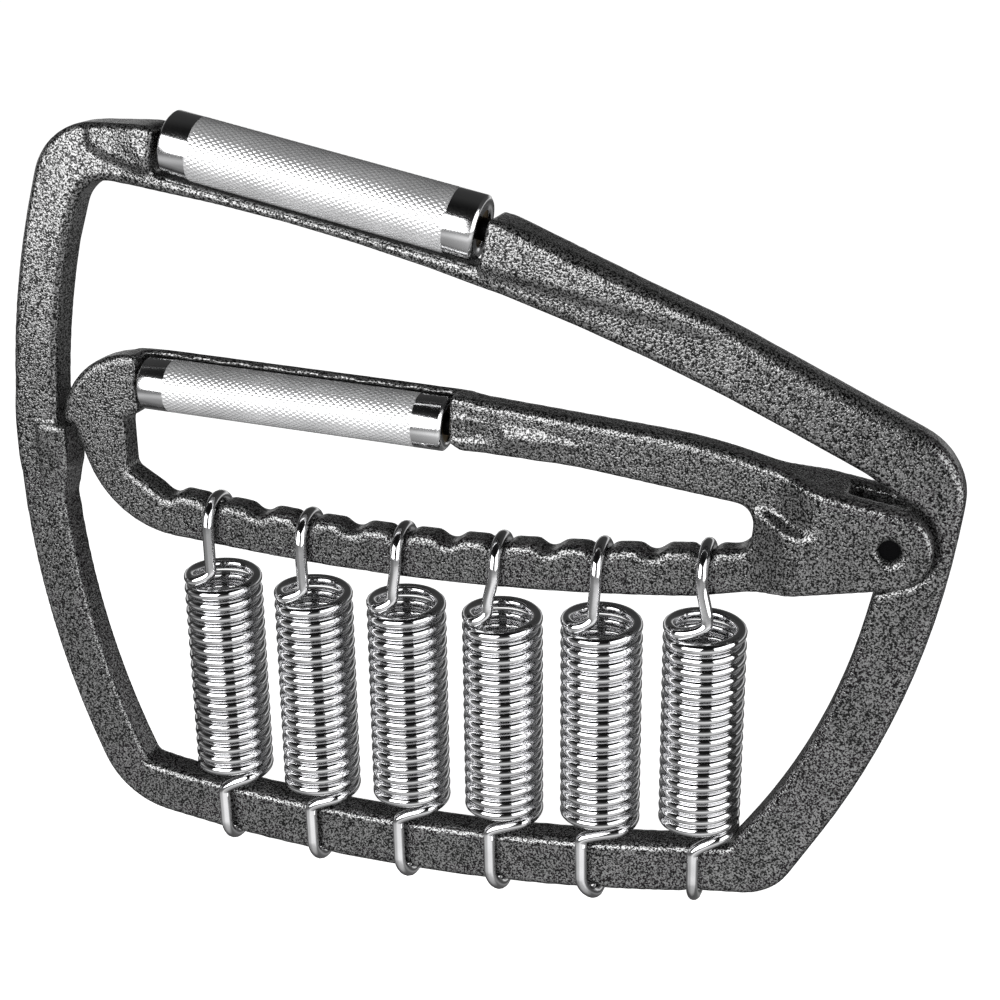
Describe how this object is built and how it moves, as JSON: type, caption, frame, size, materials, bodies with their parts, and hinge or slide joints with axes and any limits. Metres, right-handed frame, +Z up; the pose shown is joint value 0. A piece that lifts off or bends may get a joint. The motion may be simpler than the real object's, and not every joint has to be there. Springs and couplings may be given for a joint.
{
  "type": "finger exerciser",
  "caption": "Hand-held finger exerciser: palm frame and hinged finger lever with rolling knurled grips, held apart by a row of hooked extension springs.",
  "frame": {"origin": "middle of the palm grip's axis", "axes": "+X along the device from the lever's free tip towards the hinge, +Y to the back, +Z up from the springs to the palm grip"},
  "size_m": [0.2254, 0.019, 0.1868],
  "materials": {
    "hammered_paint": "glossy hammered paint on a casting",
    "pin_steel": "turned steel",
    "bush_bronze": "plain bearing bronze",
    "sleeve_aluminium": "diamond knurled with polished end bands",
    "spring_chrome": "bright plated wire"
  },
  "bodies": {
    "palm_frame": {"outer_frame": "hammered_paint", "hinge_bush": "bush_bronze", "palm_axle": "pin_steel", "palm_axle_pin": "pin_steel", "spring_1": "spring_chrome", "spring_2": "spring_chrome", "spring_3": "spring_chrome", "spring_4": "spring_chrome", "spring_5": "spring_chrome", "spring_6": "spring_chrome"},
    "finger_lever": {"lever_frame": "hammered_paint", "hinge_pin": "pin_steel", "finger_axle": "pin_steel", "finger_axle_pin": "pin_steel"},
    "palm_roller": {"palm_sleeve": "sleeve_aluminium", "palm_bush_left": "bush_bronze", "palm_bush_right": "bush_bronze"},
    "finger_roller": {"finger_sleeve": "sleeve_aluminium", "finger_bush_left": "bush_bronze", "finger_bush_right": "bush_bronze"}
  },
  "joints": [
    {"name": "lever_pivot", "type": "hinge", "parent": "palm_frame", "child": "finger_lever", "pos_m": [0.1279, 0, -0.0698], "axis": [0, 1, 0], "range_deg": [0, 12], "stiffness_Nm_per_rad": 450, "springref_deg": -1.15, "deforming": ["spring_1", "spring_2", "spring_3", "spring_4", "spring_5", "spring_6"]},
    {"name": "palm_roll", "type": "hinge", "parent": "palm_frame", "child": "palm_roller", "pos_m": [0, 0, 0], "axis": [0.977, 0, -0.213], "continuous": true},
    {"name": "finger_roll", "type": "hinge", "parent": "finger_lever", "child": "finger_roller", "pos_m": [-0.01, 0, -0.051], "axis": [0.9987, 0, -0.0506], "continuous": true}
  ]
}
